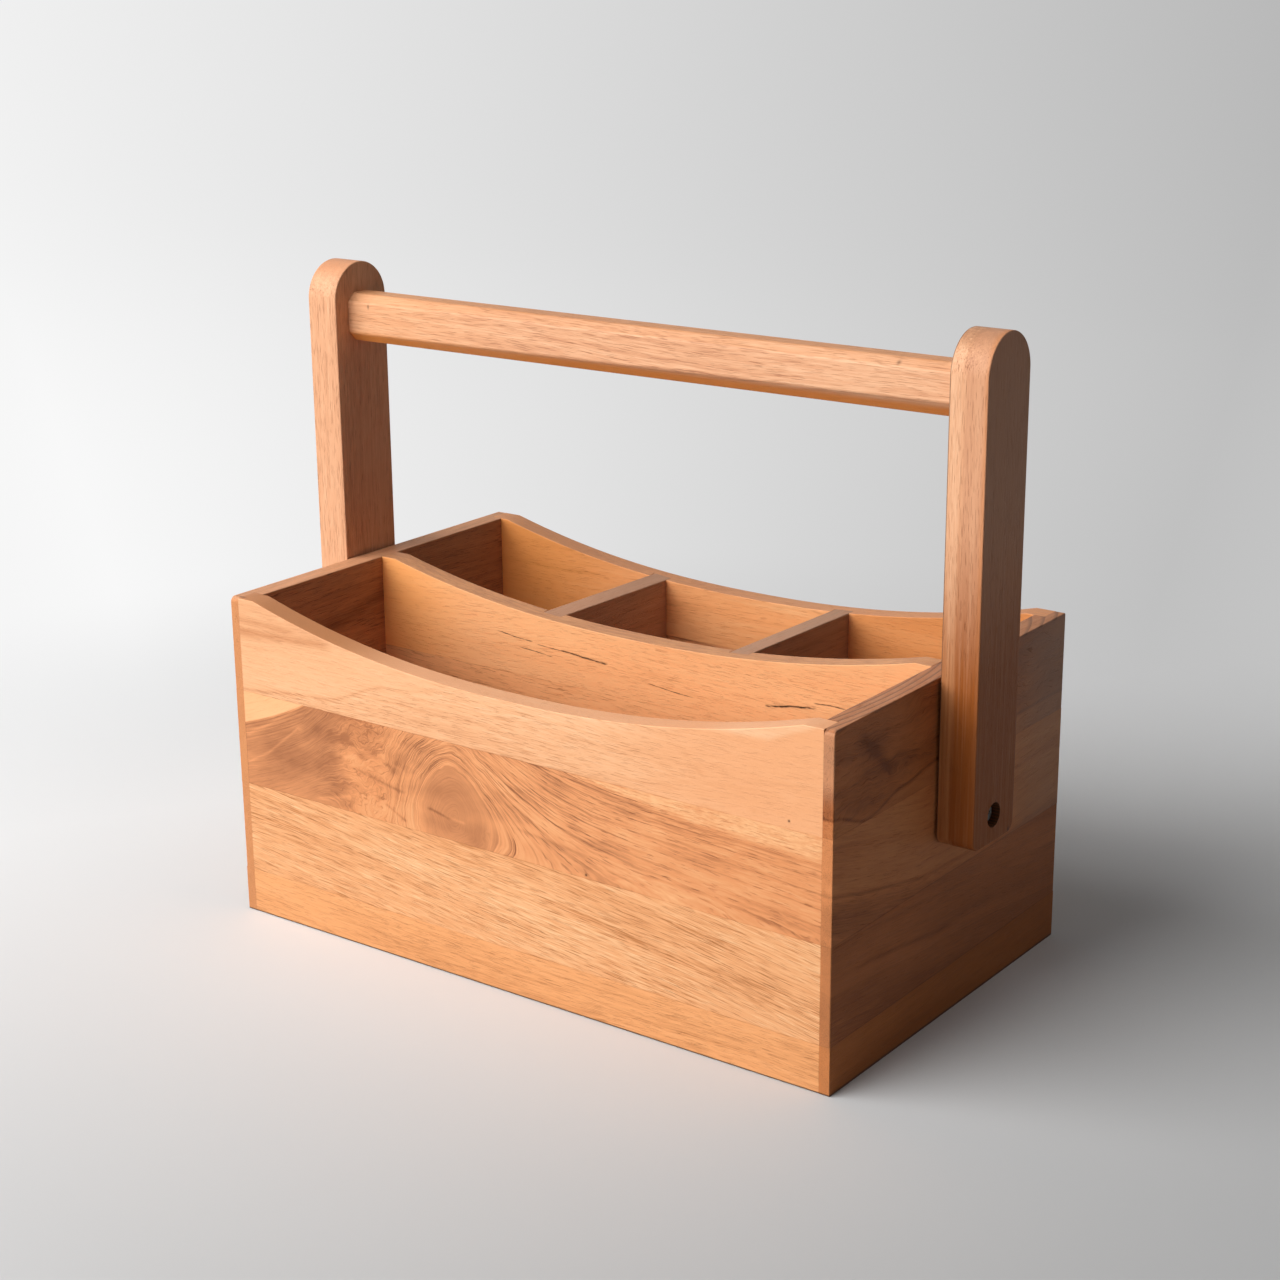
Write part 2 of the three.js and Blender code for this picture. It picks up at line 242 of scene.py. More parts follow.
@dataclass
class Teak:
    """How one board was cut from the tree. Lengths are in millimetres, colours linear."""
    axes: str                       # along the grain, across the face, through the board
    tones: tuple                    # dark, body and pale colour
    seed: int = 0
    figure: object = None           # marks of this one board
    slope: float = 0.0              # fall of the fibres across the face, per unit along it
    ring: float = 9.0               # between growth lines
    heart: tuple = (-70.0, 90.0)    # heart of the tree: across, through
    sway: float = 6.0               # wander of the growth lines
    thin: float = 0.6               # start of the dark part of a growth line
    reach: float = 11.0             # length of the hatching
    line: float = 0.12              # strength of the growth lines
    band: float = 0.12              # of whole years, lighter or darker
    streak: float = 0.30            # of streaks along the fibres
    hatch: float = 0.75             # of the hatching
    pore: float = 0.34              # of the pores
    drift: float = 0.30             # of slow changes
    # faces that look up take this colour as painted shade and sheen
    top_shade_and_sheen: tuple = (0.72, 0.32, 0.16)  # colour of faces that look up


@dataclass
class Figure:
    """What is peculiar to one board."""
    lines: object                   # coordinate across the growth lines
    tone: object = 0.0              # lighter or darker
    bold: object = 1.0              # strength of the growth lines
    fine: object = 1.0              # strength of hatching and pores
    # colour overlays: real marks of the wood, and also painted light and shade
    stains_and_painted_light: tuple = ()              # (strength, colour)


TEAK_ROUGHNESS = 0.47
TEAK_SPECULAR = 0.16
TEAK_RELIEF = 0.00012


def teak(name, wood, seams):
    """Oiled teak: growth lines round the heart of the tree, hatched fibres, pores, slow changes of tone, and
    painted shade and sheen on faces that look up.
    """
    material, shader, place, facing = new_material(name)
    along, across, through = (place[axis] for axis in wood.axes)
    seed = wood.seed
    across = across + along * wood.slope
    spot = (along, across, through)

    place["up"] = facing["z"].step(0.5, 0.95)
    sway = noise(spot, (170.0, 46.0, 46.0), seed, 1.0) * wood.sway
    wobble = noise(spot, (40.0, 8.0, 8.0), seed + 1, 2.0) * 0.8
    lines = across + sway + wobble
    figure = wood.figure(place, lines, seed) if wood.figure else Figure(lines)
    radius = ((figure.lines - wood.heart[0]).square() + (through - wood.heart[1]).square()).root()
    count = radius / wood.ring
    count = count + noise((count, count, count), (1.7, 1.7, 1.7), seed + 5, 1.0) * 0.9
    phase = count.fraction()
    year = (count.floor() + seed * 13.0).random()
    patch = noise(spot, (42.0, 13.0, 13.0), seed + 6, 2.0)
    line = phase.step(wood.thin, 0.95) * phase.step(1.0, 0.97) * (year * 0.55 + 0.2) * (patch + 0.8)
    line = line * figure.bold

    fibre = (along, figure.lines, through)
    hatch = noise(fibre, (wood.reach, 0.5, 0.5), seed + 2, 2.0, 0.6) * (patch * 0.9 + 0.8) * figure.fine
    streak = noise(fibre, (60.0, 2.4, 2.4), seed + 3, 3.0, 0.6) * figure.fine
    dashes = noise(fibre, (wood.reach * 0.65, 0.32, 0.32), seed + 7, 1.0)
    pores = dashes.step(0.2, 0.42) * (0.8 + line * 0.8) * figure.fine
    drift = noise(spot, (110.0, 22.0, 22.0), seed + 4, 2.0)

    end_grain = facing[wood.axes[0]].size().step(0.6, 0.95) * 0.11
    glue = 0.0
    for axis, plane in seams:
        glue = (place[axis] - plane).bell(0.22) + glue
    tone = 0.5 + (year - 0.5) * figure.bold * wood.band + streak * wood.streak + hatch * wood.hatch
    tone = tone + drift * wood.drift + figure.tone - line * wood.line - pores * wood.pore
    tone = tone - end_grain - (patch + 0.7) * glue * 0.3
    dark, body, pale = wood.tones
    colour = ramp(tone.clamped(), [(0.0, dark), (0.5, body), (1.0, pale)])
    # painted shade and sheen on faces that look up, laid on in uneven patches
    patchy_top_shade = noise(fibre, (34.0, 1.3, 1.3), seed + 8, 3.0, 0.6)
    colour = mixed(place["up"] * (0.72 - patchy_top_shade * 0.9), colour, wood.top_shade_and_sheen)
    # overlays of real marks and of painted light and shade
    for strength, overlay in figure.stains_and_painted_light:
        colour = mixed(strength.clamped(), colour, overlay)
    plug(material.node_tree, shader.inputs["Base Color"], colour)
    plug(material.node_tree, shader.inputs["Roughness"], TEAK_ROUGHNESS + pores * 0.2 + streak * 0.08)
    shader.inputs["Specular IOR Level"].default_value = TEAK_SPECULAR
    bump(shader, hatch * 0.5 + streak * 0.3 - pores, TEAK_RELIEF)
    return material


def plated_steel(name):
    """Zinc plate gone dull and dark in the pivot: fine scratches, tarnish."""
    material, shader, place, _ = new_material(name)
    spot = (place["x"], place["y"], place["z"])
    tarnish = noise(spot, (2.5, 2.5, 2.5), 4, 3.0)
    scratch = noise(spot, (0.4, 0.4, 0.4), 9, 2.0)
    colour = ramp((0.5 + tarnish).clamped(), [(0.0, (0.10, 0.10, 0.095)), (1.0, (0.30, 0.30, 0.29))])
    plug(material.node_tree, shader.inputs["Base Color"], colour)
    plug(material.node_tree, shader.inputs["Roughness"], 0.38 + tarnish * 0.2 + scratch * 0.08)
    shader.inputs["Metallic"].default_value = 1.0
    bump(shader, scratch, 0.00002)
    return material


# Figure of single boards, in millimetres of the box's own axes

EYE = (-28.0, 70.0)
BURR_X = -75.0
BURR_SPOTS = ((-78.0, 86.0), (-70.6, 88.7), (-61.0, 83.4), (-86.6, 92.0))
SAP_CORNER = (-147.0, 87.4)
SAP_LINES = ((1.2, 0.9), (2.7, 0.7), (4.6, 0.6), (7.2, 0.4))    # depth under the sapwood, strength
CREST = [(14.0, 101.8), (55.0, 96.4), (92.0, 92.7), (142.6, 90.4)]
# near black: painted shade in the screw bores, the open joint and the fissures; also the colour of pinholes,
# a nick and dark spots
BLACK_MARK_AND_SHADE = (0.035, 0.016, 0.008)

# Single marks of the upper front board: (x, z) points, width, softness of the ends and strength
UPPER_PALE = [
    ([(-143.5, 83.0), (-132.0, 89.0), (-120.0, 96.0), (-110.6, 102.0)], 0.8, 5.0, 1.0),
    ([(-143.8, 70.5), (-132.4, 76.5), (-121.7, 85.0), (-114.3, 91.0)], 0.7, 5.0, 1.0),
    ([(-101.6, 62.3), (-77.8, 69.3)], 0.9, 5.0, 1.0),
    ([(-33.0, 69.6), (-24.0, 69.0)], 0.7, 2.0, 1.0),
]
UPPER_DARK = [
    (CREST, 0.45, 5.0, 1.0),
    ([(5.5, 72.8), (45.0, 68.6), (92.0, 67.4)], 0.8, 5.0, 0.6),
    ([(-81.7, 79.8), (-58.0, 75.3)], 0.7, 5.0, 1.0),
    ([(-41.0, 71.2), (-32.0, 69.3)], 0.6, 3.0, 1.0),
    ([(-65.0, 67.6), (-55.5, 63.0)], 0.7, 2.0, 1.0),
]


def eye_rings(x, z):
    """Distance from the eye, stretched so that its rings settle into lines on the right."""
    from_eye = x - EYE[0]
    right = from_eye.larger(0.0)
    left = (-from_eye).larger(0.0)
    spread = (1.0 - (right / -14.0).exp()) * 26.0 + right * 0.05 + (left * 1.12).math("MINIMUM", 42.0)
    centre = right.bell(45.0) * 16.0 + left.bell(45.0) * 18.0 + (EYE[1] - 34.0)
    return (spread.square() + (z - centre).square()).root()


def depth_under_sap(x, z):
    """How far a point lies under the sapwood in the left corner."""
    from_corner = x - SAP_CORNER[0]
    sap_edge = from_corner * 0.30 + from_corner.square() * 0.0029 + SAP_CORNER[1]
    return sap_edge - z


def dark_marks(x, z, below_sap):
    """Upper front board: single dark lines, spots in the burr and lines along the sapwood."""
    marks = strokes(x, z, UPPER_DARK)
    for centre in BURR_SPOTS:
        marks = marks + blob(x, z, centre, (2.4, 1.8)) * 1.2
    for depth, strength in SAP_LINES:
        marks = marks + (below_sap - depth).bell(0.4) * x.step(-104.0, -114.0) * strength
    return marks


def eye_figure(place, lines, seed):
    """Upper front board: smoky heartwood, a burr and an arched eye, from which lines settle to the right."""
    x, z = place["x"], place["z"]
    spot = (x, z, place["y"])
    ring = eye_rings(x, z)
    below_sap = depth_under_sap(x, z)
    by_sap = x.step(-76.0, -112.0)
    in_burr = (x - BURR_X).bell(17.0)
    near_eye = x.within(-46.0, -14.0, 6.0)
    under_eye = near_eye * z.step(75.0, 68.0)
    out_of_eye = ring.step(19.0, 25.0)
    under_seam = x.step(10.0, 45.0) * (z - x.curve(CREST)).step(0.5, 4.0)

    curl = noise(spot, (13.0, 10.0, 10.0), seed + 11, 3.0)
    bend = curl * (in_burr * 8.0 + near_eye * 1.6 + under_eye * 4.0 + 0.4)
    bent = ring * (1.0 - by_sap) + (81.0 - below_sap) * by_sap + (lines - z) * 0.25 + bend
    bold = x.step(-62.0, -40.0) * 0.35 + x.step(-24.0, 4.0) * 0.55 + 0.1
    bold = bold * (out_of_eye * 0.7 + 0.3) * (1.0 - under_eye * 0.8) * (1.0 - under_seam * 0.75)
    fine = (x.step(-110.0, -70.0) * 0.65 + 0.35) * (out_of_eye * 0.8 + 0.2)

    smoke = noise(spot, (26.0, 13.0, 20.0), seed + 12, 3.0)
    in_smoke = (x + smoke * 18.0).step(-78.0, -98.0)
    heart = blob(x, z, (-114.0, 77.0), (24.0, 12.0))
    in_eye = ring.step(24.0, 15.0) * near_eye
    in_sap = below_sap.step(0.5, -0.5) * x.step(-104.0, -110.0)
    knots = noise(spot, (7.0, 5.5, 9.0), seed + 13, 2.0).step(0.14, 0.5) * in_burr
    speckle = noise(spot, (3.0, 0.9, 2.0), seed + 14, 2.0) * under_seam
    eye_rim = (ring + curl * 1.6 - 23.5).bell(1.2) * near_eye * (1.0 - under_eye)
    pale_lines = strokes(x, z, UPPER_PALE) + eye_rim * 0.45

    tone = in_smoke * -0.30 - heart * 0.12 + smoke * 0.30 - in_eye * 0.16 - under_eye * 0.08 - knots * 0.55
    tone = tone - in_burr * 0.06 - x.step(60.0, 120.0) * 0.03 + 0.02
    tone = tone + pale_lines * 0.15 - dark_marks(x, z, below_sap) * 0.26
    tone = tone + under_seam * 0.32 + speckle * 0.4 + smoke * in_burr * 0.3
    tone = tone * (1.0 - in_sap) + in_sap * (0.40 + smoke * 0.25)
    ruddy = in_burr * 0.3 + x.step(40.0, 120.0) * (1.0 - under_seam) * 0.3
    pinhole = blob(x, z, (38.2, 61.5), (0.5, 0.5))
    return Figure(bent, tone, bold, fine, [(ruddy, (0.72, 0.265, 0.095)), (pinhole, BLACK_MARK_AND_SHADE)])


def cream_figure(place, lines, seed):
    """Top front board: smooth cream above a wavy border on the left, a pale lens and a knot on the right."""
    x, z = place["x"], place["z"]
    border = x.curve([(-147.5, 102.7), (-100.0, 107.0), (-60.0, 119.0), (-15.0, 124.5)], "SMOOTHSTEP")
    in_cream = (z - border).step(-0.4, 1.2) * x.step(0.0, -60.0)
    edge = (z - border).bell(0.8) * x.step(-10.0, -60.0)
    brown = stroke(x, z, [(-144.0, 128.3), (-99.0, 130.6)], 2.2, 8.0)
    brown = brown + stroke(x, z, [(-146.0, 134.0), (-118.0, 133.0)], 1.4, 8.0) * 0.5
    lens_edge = x.curve([(88.0, 133.0), (122.0, 134.3), (143.0, 143.0)])
    lens = (z - lens_edge).step(-1.5, 1.5) * x.step(70.0, 100.0)
    knot = blob(x, z, (131.0, 114.0), (4.0, 2.4))
    spots = 0.0
    for centre in ((86.0, 121.0), (92.0, 115.6), (95.0, 102.5), (116.0, 105.6)):
        spots = spots + blob(x, z, centre, (2.0, 1.0))
    # a pinhole, and the painted shade of the open joint at the left
    pinhole = blob(x, z, (131.3, 105.1), (0.45, 0.45)) + left_slit_shade(place)
    orange = x.step(30.0, 120.0) * 0.6 * (1.0 - lens)
    tone = in_cream * -0.03 - edge * 0.22 - brown * 0.34 + lens * 0.20 + knot * 0.2 - spots * 0.2
    brown_rim = place["up"] * x.step(-50.0, -100.0) * 0.8
    stains_and_painted_light = [(orange, (0.86, 0.38, 0.170)), (brown_rim, (0.50, 0.20, 0.075)), (pinhole, BLACK_MARK_AND_SHADE)]
    fine = 1.0 - in_cream * 0.45 - x.step(50.0, 110.0) * 0.45
    return Figure(lines, tone, 0.6, fine, stains_and_painted_light)


def left_slit_shade(place):
    """Painted shade of a short open joint on top of the left front corner."""
    return blob(place["x"], place["y"], (-145.0, -86.7), (2.0, 0.35)) * place["z"].step(142.0, 142.8)


def fan_figure(place, lines, seed):
    """Lower front board: fibres that fall more steeply towards the right, with dark streaks among them."""
    x, z = place["x"], place["z"]
    streaks = stroke(x, z, [(25.0, 45.6), (119.0, 31.0)], 1.3, 12.0)
    streaks = streaks + stroke(x, z, [(-145.0, 56.7), (-87.0, 49.0)], 1.3, 12.0)
    streaks = streaks + blob(x, z, (110.0, 36.7), (14.0, 2.4))
    return Figure(lines + (x + 150.0).square() * 0.000117, x.step(60.0, 140.0) * 0.06 - streaks * 0.2)


def divider_figure(place, lines, seed):
    """Top board of the long divider: painted shade darkening its fissures to near black, and a warm yellow
    tone at the left, partly painted light.
    """
    x, z = place["x"], place["z"]
    overlay = 0.0
    # painted shade on the front face and inside the cracks, along the fissures
    for points, width, _ in FISSURES:
        overlay = stroke(x, z, points, width * 0.7, 2.0) + overlay
    ragged = (noise((x, z, place["y"]), (3.0, 0.6, 3.0), seed + 11, 2.0) * 1.6 + 0.75).clamped()
    # warm yellow tone at the left, made brighter as painted light where the left end shades the board
    golden_and_painted_light = x.step(-80.0, -140.0) * (1.0 - place["up"]) * 0.7
    stains_and_painted_light = [(golden_and_painted_light, (0.97, 0.39, 0.10)), (overlay * ragged * place["y"].step(-1.5, -2.5), BLACK_MARK_AND_SHADE)]
    return Figure(lines, 0.16, stains_and_painted_light=stains_and_painted_light)


def end_top_figure(place, lines, seed):
    """Top board of the right end: smoky, with a swirl, above a sagging dark curve."""
    y, z = place["y"], place["z"]
    spot = (y, z, place["x"])
    smoke = noise(spot, (34.0, 15.0, 20.0), seed + 12, 3.0)
    curve = y.curve([(-89.9, 109.3), (-65.0, 102.4), (-40.0, 107.6), (-17.0, 110.5)], "SMOOTHSTEP")
    swirl = stroke(y, z, [(-68.0, 134.0), (-50.0, 117.0)], 3.0, 8.0)
    swirl = swirl + blob(y, z, (-62.0, 128.0), (8.0, 7.0))
    arc = (((place["x"] - 130.0).square() + ((y + 40.0) / 4.0).square()).root() / 2.6).fraction()
    on_rim = z.step(141.8, 142.6) * arc.step(0.5, 0.9) * arc.step(1.0, 0.93)
    tone = smoke * 0.40 - (z - curve).bell(0.8) * 0.32 - swirl * 0.25 - (z - curve).step(-1.0, 4.0) * 0.10
    tone = tone + (curve - z).step(0.0, 2.0) * 0.22
    lip = on_front(place) * z.step(112.0, 124.0) * 0.5
    # painted light: a greyer tone on the faces towards the back, as light from the pale backdrop
    painted_grey_light = y.step(30.0, 80.0) * (1.0 - place["up"]) * 0.6
    stains_and_painted_light = [(lip, (0.74, 0.37, 0.20)), (painted_grey_light, (0.42, 0.25, 0.17)), (on_rim * 0.7, (0.20, 0.09, 0.05))]
    return Figure(lines + smoke * 9.0, tone, stains_and_painted_light=stains_and_painted_light)


def left_end_figure(place, lines, seed):
    """Top board of the left end: a dark band across its inside."""
    band = stroke(place["y"], place["z"], [(-75.0, 112.0), (-8.0, 125.0)], 3.5, 14.0)
    return Figure(lines, band * -0.3, stains_and_painted_light=[left_lip(place), (left_slit_shade(place), BLACK_MARK_AND_SHADE)])


def on_front(place):
    """1 on the front of the box, where the end panels show their end grain."""
    return place["y"].step(-88.2, -88.7)


def left_lip(place):
    """Pale end grain of the left end on the front of the box."""
    return on_front(place) * 0.75, (0.72, 0.285, 0.105)


def left_side_figure(place, lines, seed):
    return Figure(lines, stains_and_painted_light=[left_lip(place)])


def right_lip(place):
    """Pale end grain of the right end on the front of the box."""
    return on_front(place) * 0.28, (0.86, 0.37, 0.15)


def end_upper_figure(place, lines, seed):
    """Upper board of the right end: broad curves falling to the back, pale strips behind the upright."""
    y, z = place["y"], place["z"]
    sag = y.curve([(-89.0, 0.0), (-62.6, -6.6), (-26.0, -14.4), (10.5, -16.5), (89.0, -12.0)])
    curve = (z - 79.8 - sag).bell(0.9) * y.within(-89.0, 14.0, 10.0)
    strips = stroke(y, z, [(49.0, 97.0), (87.0, 95.0)], 1.6)
    strips = strips + stroke(y, z, [(50.0, 86.0), (88.0, 83.6)], 1.6)
    tone = 0.16 + strips * 0.22 - curve * 0.30 - (sag + 79.8 - z).step(0.0, 6.0) * 0.36
    # painted light: a greyer tone towards the back, as light from the pale backdrop
    painted_grey_light = y.step(30.0, 80.0) * 0.5
    return Figure(lines - sag, tone, stains_and_painted_light=[(painted_grey_light, (0.52, 0.27, 0.16)), right_lip(place)])


def end_lower_figure(place, lines, seed):
    """Lower board of the right end: one low dark curve."""
    y, z = place["y"], place["z"]
    curve = stroke(y, z, [(-61.5, 45.0), (-8.6, 37.8)], 1.0, 14.0)
    return Figure(lines + (y + 89.0) * 0.09, curve * -0.2 - 0.10, stains_and_painted_light=[right_lip(place)])


def bore_shade(place):
    """1 inside the sunk hole for the pivot screw's head, which painted shade darkens."""
    from_pivot = (place["y"].square() + (place["z"] - PIVOT_Z).square()).root()
    return from_pivot.step(5.05, 4.95) * 0.85


def right_upright_figure(place, lines, seed):
    """Right upright: a pale strip on the inside, red heartwood on the outside; painted shade darkens it
    towards the foot, on its outer side, along its inner edge and in the screw's bore.
    """
    x = place["x"] + noise((place["z"], place["x"], place["y"]), (120.0, 9.0, 9.0), seed + 12, 1.0) * 1.2
    pale = x.step(157.5, 155.5)
    thin = (x - 162.5).bell(0.8)
    grain = noise((place["z"], place["x"], place["y"]), (70.0, 1.1, 1.1), seed + 13, 3.0) * 0.4
    # red heartwood streaks, and painted shade of the box darkening the upright towards the foot
    red = place["z"].step(215.0, 130.0) * (0.98 - pale * 0.30 - thin * 0.05 + grain)
    orange = x.step(164.0, 166.5) * 0.6
    # painted shade of the box: the pale strip turns a darker amber towards the foot
    amber = pale * place["z"].step(180.0, 120.0) * 0.85
    nick = blob(place["y"], place["z"], (12.2, 77.2), (0.5, 1.2)) * x.step(165.0, 166.0)
    # painted shade along the inner edge and face, close against the end panel
    inner_edge_shade = place["x"].step(151.8, 151.3) * 0.7
    outer = x.step(157.0, 159.0) * 0.4
    # painted shade on the outer side face: darker and greyer
    side = place["x"].step(166.4, 166.9) * place["z"].step(120.0, 220.0) * 0.62
    tone = pale * 0.28 + thin * 0.06 - 0.10
    stains_and_painted_light = [
        (outer, (0.64, 0.31, 0.175)),
        (orange, (0.62, 0.24, 0.09)),
        (side, (0.42, 0.215, 0.135)),
        (amber, (0.66, 0.29, 0.105)),
        (red, (0.32, 0.088, 0.016)),
        (inner_edge_shade, (0.07, 0.03, 0.015)),
        (bore_shade(place), BLACK_MARK_AND_SHADE),
        (nick, BLACK_MARK_AND_SHADE),
    ]
    return Figure(lines, tone, 1.0, 1.0, stains_and_painted_light)


def left_upright_figure(place, lines, seed):
    return Figure(lines, stains_and_painted_light=[(bore_shade(place), BLACK_MARK_AND_SHADE)])


def rail_figure(place, lines, seed):
    """Rail: yellower at the left; painted shade makes it darker and warmer where it faces down."""
    x, z = place["x"], place["z"]
    # painted shade on the faces that look down
    under = (z - RAIL_Z).step(-5.0, -8.0) * 0.85
    left = x.step(-40.0, -140.0) * 0.4
    spots = blob(x, z, (-139.3, 255.6), (0.5, 1.0)) + blob(x, z, (124.4, 258.5), (0.9, 0.7))
    stains_and_painted_light = [(left, (0.82, 0.38, 0.170)), (under, (0.84, 0.29, 0.055)), (spots * 0.6, BLACK_MARK_AND_SHADE)]
    return Figure(lines, x.step(20.0, 140.0) * 0.12 + 0.06, stains_and_painted_light=stains_and_painted_light)


def back_figure(place, lines, seed):
    """Top board of the back wall: a cream patch in the middle cell; on the inside, painted light in the left
    cell and painted shade in the right cell.
    """
    x = place["x"]
    face = (1.0 - place["up"]) * place["y"].step(84.0, 80.0)
    # painted light: a brighter, warmer inside face in the left cell
    left = x.step(-44.0, -130.0) * face * 0.75
    # painted shade: a darker inside face in the right cell
    right = x.step(52.0, 56.0) * face * 0.6
    patch = blob(x, place["z"], (22.0, 126.0), (22.0, 3.0)) * 0.4
    return Figure(lines, patch + 0.06, stains_and_painted_light=[(left, (0.95, 0.36, 0.085)), (right, (0.70, 0.25, 0.065))])


def painted_contact_shadow(place):
    """A dark line of painted contact shadow where a bottom board stands on the table."""
    return place["z"].step(1.1, 0.6) * 0.8, (0.10, 0.045, 0.022)


def low_figure(place, lines, seed):
    return Figure(lines, stains_and_painted_light=[painted_contact_shadow(place)])


def right_low_figure(place, lines, seed):
    return Figure(lines, stains_and_painted_light=[right_lip(place), painted_contact_shadow(place)])


def left_low_figure(place, lines, seed):
    return Figure(lines, stains_and_painted_light=[left_lip(place), painted_contact_shadow(place)])


# Shapes: each board is its solid with the edges that a hand would sand rounded over

# Cracks in the front face of the long divider: (x, z) points, width and depth
FISSURES = [
    ([(-72.9, 119.9), (-64.0, 118.7), (-56.2, 118.3)], 0.3, 0.6),
    ([(-60.6, 114.5), (-53.0, 114.1), (-45.5, 113.4)], 0.3, 0.6),
    ([(-50.8, 117.4), (-44.0, 117.1), (-39.0, 116.9)], 0.25, 0.6),
    ([(-38.0, 116.9), (-33.0, 116.6), (-28.0, 116.1), (-22.7, 115.8), (-15.8, 115.3)], 0.6, 2.0),
    ([(7.7, 110.8), (18.0, 109.7), (28.0, 109.1)], 0.25, 0.5),
    ([(66.4, 112.6), (72.0, 113.4), (76.9, 114.5), (82.0, 115.0), (87.7, 115.9)], 0.7, 2.0),
    ([(89.6, 118.0), (96.0, 118.4), (101.6, 118.2)], 0.35, 1.0),
]
DIVIDER_FRONT = -4.5
PIVOT_Z = 87.0
RAIL_Z = 250.0
RAIL_END = 151.0
SEAMS = (20.0, 60.0, 102.0)
LAP_X = 145.5
GROOVE_X = 140.5
LAP_Y = 79.0
FLOOR_TOP = 11.0
CROSS_FACES = (-53.5667, -44.0667, 43.2667, 52.7667)
CROSS_FRONT = 1.5
CROSS_BACK = 83.0


def seams_of(node):
    """Lines on which glue shows, as (axis, place in millimetres)."""
    seams = [("z", height) for height in SEAMS] if "_board_" in node and "floor" not in node else []
    return seams + [("x", -LAP_X), ("x", LAP_X)] if node.startswith(("front", "back")) else seams


def joints_of(node):
    """Planes on which the node is glued, as (axis, place in millimetres); their edges stay flush."""
    seams = [(2, height) for height in SEAMS]
    housings = [(0, face) for face in CROSS_FACES]
    if node.startswith("front"):
        return seams + [(0, -LAP_X), (0, LAP_X)]
    if node.startswith("back"):
        return seams + housings + [(0, -LAP_X), (0, LAP_X), (1, CROSS_BACK)]
    if "_end_" in node:
        return seams + [(0, -LAP_X), (0, LAP_X), (1, -LAP_Y), (1, LAP_Y)]
    if node.startswith("long_divider"):
        return seams + housings + [(2, FLOOR_TOP), (0, -GROOVE_X), (0, GROOVE_X), (1, CROSS_FRONT)]
    if "cross_divider" in node:
        return seams + [(2, FLOOR_TOP), (1, CROSS_FRONT), (1, CROSS_BACK)]
    if node == "handle_rail":
        return [(0, -RAIL_END), (0, RAIL_END)]
    return []


def solid_of(node):
    """The node's surface with shared corners merged and flat triangles joined."""
    solid = bmesh.new()
    solid.from_mesh(frame["nodes"][node].data)
    bmesh.ops.remove_doubles(solid, verts=solid.verts, dist=0.002 * MM)
    bmesh.ops.dissolve_limit(
        solid,
        angle_limit=math.radians(0.2),
        verts=solid.verts,
        edges=solid.edges,
    )
    return solid


def on_plane(face, axis, place):
    return all(abs(vertex.co[axis] - place * MM) < 0.01 * MM for vertex in face.verts)


def eased(solid, joints, radius, steps=3, sharpest=math.radians(35), only=None):
    """Rounds over every corner edge that doesn't lie on a joint, or only those round one plane."""
    edges = [
        edge for edge in solid.edges
        if len(edge.link_faces) == 2
        and edge.calc_face_angle(0.0) > sharpest
        and not any(on_plane(face, *joint) for face in edge.link_faces for joint in joints)
        and (only is None or any(on_plane(face, *only) for face in edge.link_faces))
    ]
    bmesh.ops.bevel(
        solid,
        geom=edges,
        offset=radius * MM,
        segments=steps,
        profile=0.5,
        affect="EDGES",
        clamp_overlap=True,
    )
    return solid


def grounded(solid):
    """The solid with no point under the table."""
    for vertex in solid.verts:
        vertex.co.z = max(vertex.co.z, 0.0)
    return solid


def wedge(tool, points, width, depth):
    """Adds a thin wedge with pointed ends to a cutting tool, along (x, z) points on the divider's front."""
    outside = DIVIDER_FRONT - 0.2
    rows = []
    for i, (x, z) in enumerate(points):
        if i in (0, len(points) - 1):
            rows.append([tool.verts.new(Vector((x, DIVIDER_FRONT - 0.01, z)) * MM)])
            continue
        corners = ((x, outside, z + width / 2), (x, outside, z - width / 2), (x, DIVIDER_FRONT + depth, z))
        rows.append([tool.verts.new(Vector(corner) * MM) for corner in corners])
    for near, far in zip(rows, rows[1:]):
        for i in range(3):
            j = (i + 1) % 3
            corners = [near[i % len(near)], near[j % len(near)], far[j % len(far)], far[i % len(far)]]
            tool.faces.new(list(dict.fromkeys(corners)))


def carved(solid, tool):
    """The solid with the tool cut out of it."""
    bmesh.ops.recalc_face_normals(tool, faces=tool.faces)
    pair = []
    for shape in (solid, tool):
        mesh = bpy.data.meshes.new("carving")
        shape.to_mesh(mesh)
        shape.free()
        pair.append(bpy.data.objects.new("carving", mesh))
        bpy.context.scene.collection.objects.link(pair[-1])
    cut = pair[0].modifiers.new("cut", "BOOLEAN")
    cut.object = pair[1]
    cut.operation = "DIFFERENCE"
    cut.solver = "EXACT"
    result = bmesh.new()
    result.from_object(pair[0], bpy.context.evaluated_depsgraph_get())
    for helper in pair:
        bpy.data.meshes.remove(helper.data)
    return result


def cracked(solid):
    tool = bmesh.new()
    for points, width, depth in FISSURES:
        wedge(tool, points, width, depth)
    return carved(solid, tool)


def add_piece(name, solid, material):
    """A smooth-shaded object made of a bmesh, with flat faces kept flat."""
    for edge in solid.edges:
        edge.smooth = edge.calc_face_angle(math.pi) < math.radians(50)
    mesh = bpy.data.meshes.new(name)
    solid.to_mesh(mesh)
    solid.free()
    mesh.shade_smooth()
    mesh.materials.append(material)
    piece = bpy.data.objects.new(name, mesh)
    bpy.context.scene.collection.objects.link(piece)
    flat = piece.modifiers.new("flat_faces", "WEIGHTED_NORMAL")
    flat.keep_sharp = True
    return piece


def stand_for(piece, node):
    """The piece takes the node's body and place in the table."""
    body = next(name for name, nodes in record["behaviour"]["bodies"].items() if node in nodes)
    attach(piece, body)
    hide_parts(node)


